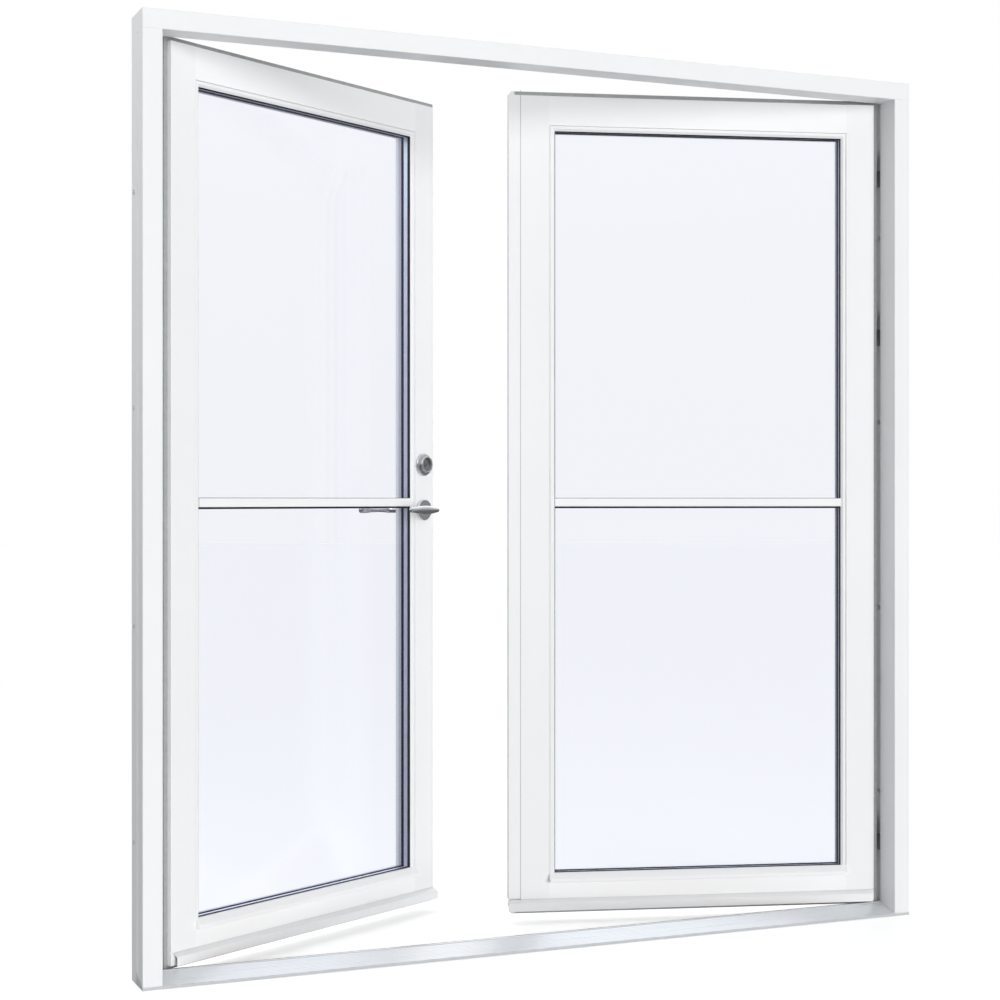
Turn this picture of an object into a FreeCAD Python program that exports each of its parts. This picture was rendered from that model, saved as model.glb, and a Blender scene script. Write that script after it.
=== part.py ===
import FreeCAD, Part
import os
import re

import Sketcher
from FreeCAD import Placement, Rotation, Vector

# Pair of glazed casement leaves, hung in one frame and opening into the room.
# Millimetres. X runs along the head, +Y into the room, +Z up. The origin is under the threshold,
# on the width's middle and at the middle of the frame's depth.
# "across" is a distance in from the frame's outer side, "depth" one in from the leaf's outer face.

SIZES = {
    "frame_width": 1933,      # frame, outside to outside
    "frame_height": 2080,
    "frame_depth": 107,
    "frame_face": 43,         # jamb and head seen from outside
    "frame_cheek": 32.5,      # their thickness behind the stop
    "stop_depth": 65,         # outer side of the frame back to the step the leaves close on
    "back_groove": 1.5,       # relief in the jambs' outer sides
    "ramp_nose": 7.1,         # threshold: height of its front edge
    "ramp_run": 58,
    "ramp_rise": 17.2,
    "ramp_lip": 1.7,          # upstand behind the slope
    "rib_start": 5,           # first rib behind the front edge
    "rib_pitch": 5.5,
    "rib_width": 1.6,
    "rib_deep": 0.6,
    "core_height": 16.5,
    "fixing_radius": 7,       # sleeves that fix the frame to the wall
    "fixing_behind": 21,      # their distance behind the stop
    "fixing_middle": 1000,    # height of the jamb fixings' middle
    "fixing_far": 1400,       # between the outer two on a jamb
    "fixing_near": 470,       # between the inner two
    "fixing_head": 1000,      # between the two in the head
    "leaf_gap": 5.5,          # all round between the frame's reveal and a leaf's face
    "meeting_clear": 3.5,     # first leaf's edge to the second leaf's cover strip
    "lip_clear": 5,           # first leaf's face to the strip's lip
    "leaf_setback": 54,       # frame's outer side back to a leaf's outer face
    "foot_clear": 4,          # a leaf's face above the threshold's upstand
    "flange_clear": 4,        # a leaf's flange off the frame behind the stop
    "stop_clear": 4,          # a leaf's flange off the stop; the seal fills it
    "stile_face": 72,
    "rail_face": 77,
    "bead_width": 13.5,
    "bead_thick": 5.5,
    "bead_bevel": 1.2,
    "lip_depth": 34,          # leaf's outer face back to the glazing lip
    "edge_radius": 2,
    "glass_setback": 10,
    "pane_thick": 4,
    "pane_space": 12,
    "pane_margin": 4,         # clearance round the panes
    "spacer_margin": 2,
    "gasket_show": 0.6,       # gasket past the beads
    "sill_reach": 12.5,       # lower bead: nose out past the face
    "sill_nose": 8.5,
    "bar_middle": 1032,
    "bar_face": 20,
    "bar_seat_low": 4.5,      # rubber strip behind a bar: how far it shows below
    "bar_seat_high": 1,       # and above
    "bar_seat_thick": 2.5,
    "bar_front": 1,
    "bar_inner": 12.5,
    "drip_reach": 12.5,
    "drip_tall": 25.5,
    "drip_fall": 6,
    "drip_groove": 4.2,
    "drip_tongue": 3.5,
    "drip_sheet": 1.2,
    "drip_inset": 6.5,        # hinge end of the drip in from the face's edge
    "drip_past": 3,           # free end past the face's edge
    "seal_inset": 1,          # seal in from the flange's edge
    "seal_clear": 0.4,        # closed seal off the stop
    "cover_lip": 11,          # cover strip on the second leaf: its lip's thickness
    "cover_block": 20.5,
    "cover_radius": 3,
    "hinge_off": 0.5,         # hinge axis off the frame's cheek
    "hinge_stand": 10,        # hinge axis past the frame's room side
    "hinge_radius": 7,
    "pin_radius": 3.5,
    "pin_clear": 0.05,
    "pin_long": 30,
    "knuckle_low": 41,
    "knuckle_high": 43,
    "knuckle_gap": 0.3,
    "hinge_plate": 2.5,
    "hinge_plate_front": 7,   # plate's front edge behind the stop
    "hinge_from_end": 172,    # end hinges from the leaf's ends
    "hinge_spread": 402,      # middle hinge below the top one
    "handle_inset": 43,       # leaf face's edge to spindle
    "handle_height": 1013,
    "cylinder_above": 113.5,  # cylinder over the spindle
    "case_wall": 6,           # wood between the lock's case and the glass rebate
    "case_thick": 15,
    "case_tall": 190,
    "case_low": 26,           # spindle above the case's lower end
    "plate_thick": 3,
    "plate_wide": 20,
    "plate_tall": 240,
    "lock_depth": 34,         # leaf's outer face to the lock's middle
    "lock_clear": 0.3,
    "latch_above": 38,
    "latch_tall": 20,
    "latch_wide": 11,
    "latch_out": 12,
    "latch_long": 38,
    "bolt_above": 78,
    "bolt_tall": 28,
    "bolt_throw": 20,
    "bolt_long": 34,
    "strike_tall": 96,
    "strike_deep": 18,
    "rose_radius": 26,
    "rose_thick": 9.4,
    "neck_radius": 9,
    "lever_out": 56,          # lever's middle line off the leaf
    "lever_long": 118,
    "spindle_side": 8,
    "spindle_hole": 6,
    "ring_radius": 27.5,
    "ring_thick": 17,
    "ring_front": 20.5,         # the tapered ring's radius at its front
    "ring_recess": 5.5,       # cylinder behind the ring's front
    "cylinder_radius": 15.5,
    "plug_radius": 7,
    "plug_clear": 0.05,
    "turn_wide": 30,
    "turn_thick": 9,
    "turn_out": 18,
    "screw_radius": 2.2,
    "screw_long": 25,
    "flush_radius": 4,
    "flush_long": 180,
    "flush_travel": 18,
    "flush_inset": 10.5,      # flush bolt's middle in from the cover strip's edge
    "flush_thumb": 14,
    "keep_thick": 1.5,
    "keep_long": 40,
    "keep_wide": 24,
    "left_open": 30,          # degrees
    "right_open": 15,
}
RIBS = 9
HINGES = ("low", "middle", "top")

doc = FreeCAD.newDocument("Casement")
sheet = doc.addObject("Spreadsheet::Sheet", "Dim")
for row, (alias, number) in enumerate(SIZES.items(), start=1):
    sheet.set(f"A{row}", alias)
    sheet.set(f"B{row}", str(number))
    sheet.setAlias(f"B{row}", alias)
doc.recompute()

nodes = []


def bound(formula):
    """The formula with each size's name written as a reference to the sheet."""
    return re.sub(r"[a-z]\w*", lambda word: "Dim." + word.group(0), formula)


def value(formula):
    return float(sheet.evalExpression(bound(formula)))


# Places that several pieces share, as formulas.
FACE = "(frame_face + leaf_gap)"
FLANGE = "(frame_cheek + flange_clear)"
REACH = f"({FACE} - {FLANGE})"
FLANGE_DEPTH = "(stop_depth + stop_clear - leaf_setback)"
MEETING = f"(cover_block + {REACH} + meeting_clear)"
FREE = f"((frame_width - {MEETING}) / 2)"
COVER_REACH = f"({MEETING} - lip_clear)"
FLANGE_FOOT = "(core_height + flange_clear)"
FACE_FOOT = "(ramp_nose + ramp_rise + ramp_lip + foot_clear)"
SEAL_WIDE = f"({REACH} - seal_inset)"
SEAL_THICK = "(stop_clear - seal_clear)"
HINGE = "(frame_cheek + hinge_off)"
OPEN = f"({FREE} - {FACE} - 2 * stile_face)"
SIGHT = f"({OPEN} - 2 * bead_width)"
FACE_TOP = "(frame_height - frame_face - leaf_gap)"
FLANGE_TOP = f"({FACE_TOP} + {REACH})"
LEAF_TALL = f"({FLANGE_TOP} - {FLANGE_FOOT})"
REBATE_FOOT = f"({FACE_FOOT} + rail_face)"
REBATE_TOP = f"({FACE_TOP} - stile_face)"
THICK = "(frame_depth - leaf_setback)"
GLASS_BACK = "(glass_setback + 2 * pane_thick + pane_space)"
DRIP_TOP = f"({FACE_FOOT} + drip_tall)"
SPINDLE = f"({FREE} - handle_inset)"
LOCK_EDGE = f"({FREE} + {REACH})"
CASE_LONG = f"(stile_face + {REACH} - plate_thick - case_wall)"
CYLINDER = "(handle_height + cylinder_above)"
COVER_EDGE = f"({FREE} + cover_block)"
FLUSH = f"({COVER_EDGE} - flush_inset)"
FRAME_FRONT = "(0 - frame_depth / 2)"
FIXING = f"({FRAME_FRONT} + stop_depth + fixing_behind)"
HINGE_Z = {
    "low": f"({FLANGE_FOOT} + hinge_from_end)",
    "top": f"({FLANGE_TOP} - hinge_from_end)",
    "middle": f"({FLANGE_TOP} - hinge_from_end - hinge_spread)",
}


def leaf_y(depth):
    return f"({FRAME_FRONT} + leaf_setback + ({depth}))"


def across(leaf, distance, width="0"):
    """X of the low side of something that starts at a distance from its jamb's outer side."""
    if leaf == "right":
        return f"(frame_width / 2 - ({distance}) - ({width}))"
    return f"(({distance}) - frame_width / 2)"


def hinge_turn(leaf, angle):
    axis = Vector(value(across(leaf, HINGE)), value("frame_depth / 2 + hinge_stand"), 0)
    turn = Placement(axis, Rotation(Vector(0, 0, 1), angle))
    return turn.multiply(Placement(-axis, Rotation()))


TURN = {
    "frame": Placement(),
    "left": hinge_turn("left", value("left_open")),
    "right": hinge_turn("right", -value("right_open")),
}


# Tools for sketched pieces.

def origin_plane(body, role):
    return next(part for part in body.Origin.OriginFeatures if part.Role == role)


def fix_point(sketch, geometry, point, x, y):
    for kind, formula in (("DistanceX", x), ("DistanceY", y)):
        rule = Sketcher.Constraint(kind, -1, 1, geometry, point, value(formula))
        index = sketch.addConstraint(rule)
        sketch.setExpression(f"Constraints[{index}]", bound(formula))


def draw_loop(sketch, corners):
    first = sketch.GeometryCount
    points = [Vector(value(x), value(y), 0) for x, y in corners]
    for start, end in zip(points, points[1:] + points[:1]):
        sketch.addGeometry(Part.LineSegment(start, end))
    for step, (x, y) in enumerate(corners):
        following = first + (step + 1) % len(corners)
        sketch.addConstraint(Sketcher.Constraint("Coincident", first + step, 2, following, 1))
        fix_point(sketch, first + step, 1, x, y)


def draw_circle(sketch, x, y, radius):
    centre = Vector(value(x), value(y), 0)
    index = sketch.addGeometry(Part.Circle(centre, Vector(0, 0, 1), value(radius)))
    fix_point(sketch, index, 3, x, y)
    rule = sketch.addConstraint(Sketcher.Constraint("Radius", index, value(radius)))
    sketch.setExpression(f"Constraints[{rule}]", bound(radius))


def outline(body, name, role, loops):
    """A sketch on one of the body's planes. A loop is corners, or (x, y, radius) for a circle."""
    sketch = body.newObject("Sketcher::SketchObject", name)
    sketch.AttachmentSupport = [(origin_plane(body, role), "")]
    sketch.MapMode = "FlatFace"
    for loop in loops:
        if isinstance(loop, tuple):
            draw_circle(sketch, *loop)
        else:
            draw_loop(sketch, loop)
    return sketch


def prism(label, role, corners, length):
    """A body with one profile pushed out along its plane's axis."""
    body = doc.addObject("PartDesign::Body", label)
    pad = body.newObject("PartDesign::Pad", label + "_pad")
    pad.Profile = outline(body, label + "_profile", role, [corners])
    pad.setExpression("Length", bound(length))
    pad.Reversed = role == "XZ_Plane"
    doc.recompute()
    return body


def ease(body, role, places, radius="edge_radius"):
    """Round the long edges that stand on the given places of the profile."""
    spots = [(value(x), value(y)) for x, y in places]
    first, second = {"XY_Plane": "xy", "YZ_Plane": "yz"}[role]
    names = []
    for number, edge in enumerate(body.Tip.Shape.Edges, start=1):
        ends = [(getattr(end.Point, first), getattr(end.Point, second)) for end in edge.Vertexes]
        for spot in spots:
            if all(abs(a - spot[0]) < 0.01 and abs(b - spot[1]) < 0.01 for a, b in ends):
                names.append(f"Edge{number}")
    base = body.Tip
    fillet = body.newObject("PartDesign::Fillet", body.Name + "_eased")
    fillet.Base = (base, names)
    fillet.setExpression("Radius", bound(radius))
    doc.recompute()
    return body


def notch(body, name, role, loops, depth=None):
    """Cut the loops away, right through or to a depth, away from the plane into the piece."""
    before = body.Shape.Volume
    pocket = body.newObject("PartDesign::Pocket", body.Name + name)
    pocket.Profile = outline(body, body.Name + name + "_profile", role, loops)
    pocket.Reversed = role != "XZ_Plane"
    if depth is None:
        pocket.Type = "ThroughAll"
    else:
        pocket.setExpression("Length", bound(depth))
    doc.recompute()
    if body.Shape.Volume > before - 1:
        raise ValueError(f"{body.Name}{name} cuts nothing")
    return body


def mirrored(corners, span):
    return [(f"{span} - ({x})", y) for x, y in corners]


def rectangle(low_x, high_x, low_y, high_y):
    return [(low_x, low_y), (high_x, low_y), (high_x, high_y), (low_x, high_y)]


# Tools for pieces made of primitives. Places are given with both leaves closed.

def block(x, y, z, long, deep, tall):
    box = doc.addObject("Part::Box", "Block")
    for name, formula in (("Length", long), ("Width", deep), ("Height", tall)):
        box.setExpression(name, bound(formula))
    for name, formula in (("x", x), ("y", y), ("z", z)):
        box.setExpression(f"Placement.Base.{name}", bound(formula))
    return box


def leaf_block(leaf, distance, depth, z, wide, deep, tall):
    return block(across(leaf, distance, wide), leaf_y(depth), z, wide, deep, tall)


def rod(x, y, z, radius, long, into_room=False):
    """A cylinder that stands upright, or that points into the room."""
    cylinder = doc.addObject("Part::Cylinder", "Rod")
    cylinder.setExpression("Radius", bound(radius))
    cylinder.setExpression("Height", bound(long))
    if into_room:
        cylinder.Placement = Placement(Vector(), Rotation(Vector(1, 0, 0), -90))
    for name, formula in (("x", x), ("y", y), ("z", z)):
        cylinder.setExpression(f"Placement.Base.{name}", bound(formula))
    return cylinder


def fuse(pieces):
    joined = doc.addObject("Part::MultiFuse", "Joined")
    joined.Shapes = pieces
    return joined


def cut(base, tools):
    rest = doc.addObject("Part::Cut", "Rest")
    rest.Base = base
    rest.Tool = tools[0] if len(tools) == 1 else fuse(tools)
    return rest


def group(pieces):
    bunch = doc.addObject("Part::Compound", "Bunch")
    bunch.Links = pieces
    return bunch


def keep(label, piece, leaf="frame", place=None):
    """Name a finished sub-part, and turn it with the leaf that it belongs to."""
    if piece.TypeId == "Part::Box":
        piece = group([piece])
    piece.Label = label
    spot = Placement()
    if place:
        spot = Placement(Vector(*[value(formula) for formula in place]), Rotation())
    piece.Placement = TURN[leaf].multiply(spot)
    nodes.append(piece)
    return piece


def ring(leaf, distance, depth, z, wide, deep, tall, side, foot=None):
    """A flat rectangular ring, its sides and head one width and its foot another."""
    low = foot or side
    outer = leaf_block(leaf, distance, depth, z, wide, deep, tall)
    inner = leaf_block(leaf, f"{distance} + {side}", f"({depth}) - 1", f"{z} + {low}",
                       f"{wide} - 2 * {side}", f"({deep}) + 2", f"{tall} - {side} - {low}")
    return cut(outer, [inner])


# The frame.

def frame_head():
    profile = [
        ("0", "0"), ("stop_depth", "0"), ("stop_depth", "frame_face - frame_cheek"),
        ("frame_depth", "frame_face - frame_cheek"), ("frame_depth", "frame_face"),
        ("0", "frame_face"),
    ]
    head = prism("frame_head", "YZ_Plane", profile, "frame_width")
    ease(head, "YZ_Plane", [("0", "0"), ("0", "frame_face"), ("stop_depth", "0")])
    y = "stop_depth + fixing_behind"
    holes = [(f"frame_width / 2 {sign} fixing_head / 2", y, "fixing_radius") for sign in "+-"]
    bolt_x = f"frame_width / 2 + {across('right', FLUSH)}"
    bolt_y = "leaf_setback + lock_depth"
    notch(head, "_fixings", "XY_Plane", holes)
    notch(head, "_bolt_hole", "XY_Plane", [(bolt_x, bolt_y, "flush_radius + 1")],
          "frame_face - 6")
    keep("frame_head", head, place=("0 - frame_width / 2", FRAME_FRONT, "frame_height - frame_face"))


def frame_jamb(side):
    """One upright, seated on the threshold's slope and let in under the head."""
    profile = [
        ("0", "0"), ("frame_face", "0"), ("frame_face", "stop_depth"),
        ("frame_cheek", "stop_depth"), ("frame_cheek", "frame_depth"), ("0", "frame_depth"),
        ("0", "frame_depth - 50"), ("back_groove", "frame_depth - 51"),
        ("back_groove", "frame_depth - 69"), ("0", "frame_depth - 70"),
    ]
    eased = [("0", "0"), ("frame_face", "0"), ("frame_face", "stop_depth")]
    place = "0 - frame_width / 2"
    if side == "right":
        profile = mirrored(profile, "frame_face")
        eased = mirrored(eased, "frame_face")
        place = "frame_width / 2 - frame_face"
    jamb = prism("frame_jamb_" + side, "XY_Plane", profile, "frame_height - frame_cheek")
    ease(jamb, "XY_Plane", eased)
    head = rectangle("0 - 1", "stop_depth", "frame_height - frame_face", "frame_height")
    ramp = [
        ("0 - 1", "0 - 1"), ("stop_depth", "0 - 1"), ("stop_depth", "ramp_nose + ramp_rise + ramp_lip"),
        ("ramp_run", "ramp_nose + ramp_rise + ramp_lip"), ("ramp_run", "ramp_nose + ramp_rise"),
        ("0", "ramp_nose"), ("0 - 1", "ramp_nose"),
    ]
    notch(jamb, "_ends", "YZ_Plane", [head, ramp])
    y = "stop_depth + fixing_behind"
    holes = [(y, f"fixing_middle {sign} {reach} / 2", "fixing_radius")
             for sign in "+-" for reach in ("fixing_far", "fixing_near")]
    notch(jamb, "_fixings", "YZ_Plane", holes)
    keep("frame_jamb_" + side, jamb, place=(place, FRAME_FRONT, "0"))


def threshold_ramp():
    """Extruded aluminium slope with fine ribs along it."""
    def height(y):
        return f"ramp_nose + ({y}) * ramp_rise / ramp_run"

    profile = [("0", "0"), ("stop_depth", "0"), ("stop_depth", "ramp_nose + ramp_rise + ramp_lip"),
               ("ramp_run", "ramp_nose + ramp_rise + ramp_lip"), ("ramp_run", "ramp_nose + ramp_rise")]
    for rib in reversed(range(RIBS)):
        near = f"rib_start + {rib} * rib_pitch"
        middle = near + " + rib_width / 2"
        far = near + " + rib_width"
        profile += [(far, height(far)), (middle, height(middle) + " - rib_deep"), (near, height(near))]
    profile.append(("0", "ramp_nose"))
    ramp = prism("threshold_ramp", "YZ_Plane", profile, "frame_width")
    keep("threshold_ramp", ramp, place=("0 - frame_width / 2", FRAME_FRONT, "0"))


def threshold_core():
    wide = "frame_width - 2 * frame_cheek"
    core = block(across("left", "frame_cheek"), f"{FRAME_FRONT} + stop_depth", "0", wide,
                 "frame_depth - stop_depth", "core_height")
    hole = rod(across("right", FLUSH), leaf_y("lock_depth"), "0 - 1", "flush_radius + 1",
               "core_height + 2")
    keep("threshold_core", cut(core, [hole]))


def bolt_keep(label, z):
    """Steel plate that takes a flush bolt."""
    x = across("right", f"{FLUSH} + keep_long / 2")
    plate = block(x, leaf_y("lock_depth - keep_wide / 2"), z, "keep_long", "keep_wide", "keep_thick")
    hole = rod(across("right", FLUSH), leaf_y("lock_depth"), f"{z} - 1", "flush_radius + lock_clear",
               "keep_thick + 2")
    keep(label, cut(plate, [hole]))


# The hinges: a lift-off pair of knuckles, the pin fast in the frame's half.

def frame_hinge(leaf, spot):
    z = HINGE_Z[spot]
    x = across(leaf, HINGE)
    y = "frame_depth / 2 + hinge_stand"
    tall = "knuckle_low - knuckle_gap / 2"
    front = f"{FRAME_FRONT} + stop_depth + hinge_plate_front"
    knuckle = rod(x, y, f"{z} - knuckle_low", "hinge_radius", tall)
    pin = rod(x, y, f"{z} - knuckle_low / 2", "pin_radius", "knuckle_low / 2 + pin_long - 1")
    plate = block(across(leaf, "frame_cheek", "hinge_plate"), front, f"{z} - knuckle_low",
                  "hinge_plate", f"{y} - ({front})", tall)
    return fuse([knuckle, pin, plate])


def leaf_hinge(leaf, spot):
    z = HINGE_Z[spot] + " + knuckle_gap / 2"
    x = across(leaf, HINGE)
    y = "frame_depth / 2 + hinge_stand"
    front = f"{FRAME_FRONT} + stop_depth + hinge_plate_front"
    knuckle = rod(x, y, z, "hinge_radius", "knuckle_high")
    plate = block(across(leaf, f"{FLANGE} - hinge_plate", "hinge_plate"), front, z, "hinge_plate",
                  f"{y} - ({front})", "knuckle_high")
    bore = rod(x, y, f"{z} - 1", "pin_radius + pin_clear", "pin_long + 1")
    return cut(fuse([knuckle, plate]), [bore])


# A leaf's woodwork.

def stile_profile():
    return [
        (REACH, "0"), (f"{REACH} + stile_face", "0"),
        (f"{REACH} + stile_face", "lip_depth"),
        (f"{REACH} + stile_face + bead_width", "lip_depth"),
        (f"{REACH} + stile_face + bead_width", THICK), ("0", THICK), ("0", FLANGE_DEPTH),
        (REACH, FLANGE_DEPTH),
    ]


def stile_ends(front):
    """What is cut from a stile's front: its ends back to the flange, and the drip's groove."""
    foot = f"{FACE_FOOT} - {FLANGE_FOOT}"
    groove = f"{DRIP_TOP} - {FLANGE_FOOT}"
    return [
        rectangle("0 - 1", front, f"{FACE_TOP} - {FLANGE_FOOT}", f"{LEAF_TALL} + 1"),
        rectangle("0 - 1", front, "0 - 1", foot),
        rectangle("0 - 1", "drip_tongue + 0.5", groove, f"{groove} + drip_groove"),
    ]


def hinge_stile(leaf, label):
    profile = stile_profile()
    eased = [(REACH, "0"), ("0", THICK), (f"{REACH} + stile_face + bead_width", THICK)]
    span = f"({REACH} + stile_face + bead_width)"
    if leaf == "right":
        profile = mirrored(profile, span)
        eased = mirrored(eased, span)
    stile = prism(label, "XY_Plane", profile, LEAF_TALL)
    ease(stile, "XY_Plane", eased)
    notch(stile, "_ends", "YZ_Plane", stile_ends(FLANGE_DEPTH))
    keep(label, stile, leaf, (across(leaf, FLANGE, span), leaf_y("0"), FLANGE_FOOT))


def lock_stile():
    """The first leaf's free stile, mortised for the lock and bored for handle and cylinder."""
    span = f"({REACH} + stile_face + bead_width)"
    stile = prism("lock_stile_blank", "XY_Plane", mirrored(stile_profile(), span), LEAF_TALL)
    eased = mirrored([(REACH, "0"), ("0", THICK), (span, THICK)], span)
    ease(stile, "XY_Plane", eased)
    notch(stile, "_ends", "YZ_Plane", stile_ends(FLANGE_DEPTH))
    x = f"{span} - {REACH} - handle_inset"
    holes = [(x, f"handle_height - {FLANGE_FOOT}", "neck_radius + 1"),
             (x, f"{CYLINDER} - {FLANGE_FOOT}", "cylinder_radius + lock_clear")]
    notch(stile, "_bores", "XZ_Plane", holes)
    start = f"{LOCK_EDGE} - {span}"
    keep("active_lock_stile", cut(stile, lock_mortise()), "left")
    stile.Placement = Placement(Vector(value(across("left", start)), value(leaf_y("0")),
                                       value(FLANGE_FOOT)), Rotation())


def lock_mortise():
    case = lock_case_block("lock_clear")
    plate = leaf_block("left", f"{LOCK_EDGE} - plate_thick", "lock_depth - plate_wide / 2",
                       "handle_height - case_low + case_tall / 2 - plate_tall / 2",
                       "plate_thick + 1", "plate_wide", "plate_tall")
    screws = [screw_hole("left", sign) for sign in "+-"]
    return [case, plate] + screws


def lock_case_block(clear):
    return leaf_block("left", f"{LOCK_EDGE} - plate_thick - {CASE_LONG} - {clear}",
                      f"lock_depth - case_thick / 2 - {clear}",
                      f"handle_height - case_low - {clear}", f"{CASE_LONG} + {clear}",
                      f"case_thick + 2 * {clear}", f"case_tall + 2 * {clear}")


def screw_rod(sign, radius, long, start):
    """A screw through the lock's face plate, lying across the leaf."""
    middle = "handle_height - case_low + case_tall / 2"
    rod_along = doc.addObject("Part::Cylinder", "Screw")
    rod_along.setExpression("Radius", bound(radius))
    rod_along.setExpression("Height", bound(long))
    rod_along.Placement = Placement(Vector(), Rotation(Vector(0, 1, 0), -90))
    rod_along.setExpression("Placement.Base.x", bound(across("left", start)))
    rod_along.setExpression("Placement.Base.y", bound(leaf_y("lock_depth")))
    rod_along.setExpression("Placement.Base.z", bound(f"{middle} {sign} (plate_tall / 2 - 11)"))
    return rod_along


def screw_hole(leaf, sign):
    return screw_rod(sign, "screw_radius", "screw_long + 1", f"{LOCK_EDGE} + 1")


def cover_stile():
    """The second leaf's free stile, square on the side that carries the cover strip."""
    profile = [
        ("0", "0"), ("stile_face", "0"), ("stile_face", "lip_depth"),
        ("stile_face + bead_width", "lip_depth"), ("stile_face + bead_width", THICK), ("0", THICK),
    ]
    stile = prism("passive_cover_stile", "XY_Plane", profile, LEAF_TALL)
    ease(stile, "XY_Plane", [("stile_face + bead_width", THICK)])
    ease(stile, "XY_Plane", [("0", "0")], "bead_bevel / 2")
    notch(stile, "_ends", "YZ_Plane", stile_ends(FLANGE_DEPTH))
    place = (across("right", FREE), leaf_y("0"), FLANGE_FOOT)
    keep("passive_cover_stile", stile, "right", place)


def cover_strip():
    """Strip that closes the gap between the leaves, bored for the flush bolts and the lock."""
    profile = [
        ("0", "0"), (COVER_REACH, "0"), (COVER_REACH, THICK), (f"{COVER_REACH} - cover_block", THICK),
        (f"{COVER_REACH} - cover_block", "cover_lip"), ("0", "cover_lip"),
    ]
    strip = prism("cover_strip_blank", "XY_Plane", profile, LEAF_TALL)
    ease(strip, "XY_Plane", [("0", "0")], "cover_radius")
    ease(strip, "XY_Plane", [(COVER_REACH, "0")], "bead_bevel / 2")
    foot = f"{DRIP_TOP} + drip_groove - {FLANGE_FOOT}"
    ends = [rectangle("0 - 1", FLANGE_DEPTH, f"{FACE_TOP} - {FLANGE_FOOT}", f"{LEAF_TALL} + 1"),
            rectangle("0 - 1", FLANGE_DEPTH, "0 - 1", foot)]
    notch(strip, "_ends", "YZ_Plane", ends)
    x = f"{COVER_REACH} - cover_block + flush_inset"
    deep = "(flush_long + 2 * flush_travel)"
    bore = [(x, "lock_depth", "flush_radius + lock_clear")]
    notch(strip, "_lower_bolt", "XY_Plane", bore, deep)
    edge = f"{FREE} + {COVER_REACH}"
    strip.Placement = Placement(Vector(value(across("right", edge)), value(leaf_y("0")),
                                       value(FLANGE_FOOT)), Rotation())
    upper = rod(across("right", FLUSH), leaf_y("lock_depth"), f"{FLANGE_TOP} - {deep}",
                "flush_radius + lock_clear", f"{deep} + 1")
    keep("passive_cover_strip", cut(strip, [upper] + strike_recess() + thumb_slots()), "right")


def strike_z():
    return "handle_height + (latch_above + bolt_above) / 2"


def strike_recess():
    plate = leaf_block("right", f"{COVER_EDGE} - plate_thick", "lock_depth - plate_wide / 2",
                       f"{strike_z()} - strike_tall / 2", "plate_thick + 1", "plate_wide",
                       "strike_tall")
    pocket = leaf_block("right", f"{COVER_EDGE} - strike_deep", "lock_depth - latch_wide / 2 - 1.5",
                        f"{strike_z()} - strike_tall / 2 + 8", "strike_deep", "latch_wide + 3",
                        "strike_tall - 16")
    return [plate, pocket]


def thumb_slots():
    """Slots in the strip's edge for the flush bolts' thumb pieces."""
    slots = []
    for z in (THUMB_Z["top"] + " - 1", THUMB_Z["foot"] + " - flush_travel - 1"):
        slots.append(leaf_block("right", FLUSH, "lock_depth - flush_radius - lock_clear", z,
                                "flush_inset + 1", "2 * (flush_radius + lock_clear)",
                                "flush_thumb + flush_travel + 2"))
    return slots


THUMB_Z = {
    "top": f"({FLANGE_TOP} - flush_long + 10)",
    "foot": f"({FLANGE_FOOT} + flush_long - 10 - flush_thumb)",
}


def rail(label, leaf, profile, eased):
    beam = prism(label, "YZ_Plane", profile, OPEN)
    ease(beam, "YZ_Plane", eased)
    lips = [rectangle("0 - 1", "bead_width", "lip_depth", f"{THICK} + 1"),
            rectangle(f"{OPEN} - bead_width", f"{OPEN} + 1", "lip_depth", f"{THICK} + 1")]
    notch(beam, "_ends", "XY_Plane", lips)
    return beam


def top_rail(leaf, label):
    tall = f"(bead_width + stile_face + {REACH})"
    profile = [
        ("lip_depth", "0"), (THICK, "0"), (THICK, tall), (FLANGE_DEPTH, tall),
        (FLANGE_DEPTH, f"{tall} - {REACH}"), ("0", f"{tall} - {REACH}"),
        ("0", "bead_width"), ("lip_depth", "bead_width"),
    ]
    eased = [("0", f"{tall} - {REACH}"), (THICK, tall), (THICK, "0")]
    place = (across(leaf, f"{FACE} + stile_face", OPEN), leaf_y("0"), f"{REBATE_TOP} - bead_width")
    keep(label, rail(label, leaf, profile, eased), leaf, place)


def bottom_rail(leaf, label):
    """The lower rail, with the groove that the drip profile hooks into."""
    foot = f"({FACE_FOOT} - {FLANGE_FOOT})"
    tall = f"({foot} + rail_face + bead_width)"
    groove = f"({DRIP_TOP} - {FLANGE_FOOT})"
    profile = [
        (FLANGE_DEPTH, "0"), (THICK, "0"), (THICK, tall), ("lip_depth", tall),
        ("lip_depth", f"{tall} - bead_width"), ("0", f"{tall} - bead_width"),
        ("0", f"{groove} + drip_groove"), ("drip_tongue + 0.5", f"{groove} + drip_groove"),
        ("drip_tongue + 0.5", groove), ("0", groove), ("0", foot), (FLANGE_DEPTH, foot),
    ]
    eased = [(THICK, "0"), (THICK, tall)]
    place = (across(leaf, f"{FACE} + stile_face", OPEN), leaf_y("0"), FLANGE_FOOT)
    keep(label, rail(label, leaf, profile, eased), leaf, place)


# A leaf's glazing.

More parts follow.
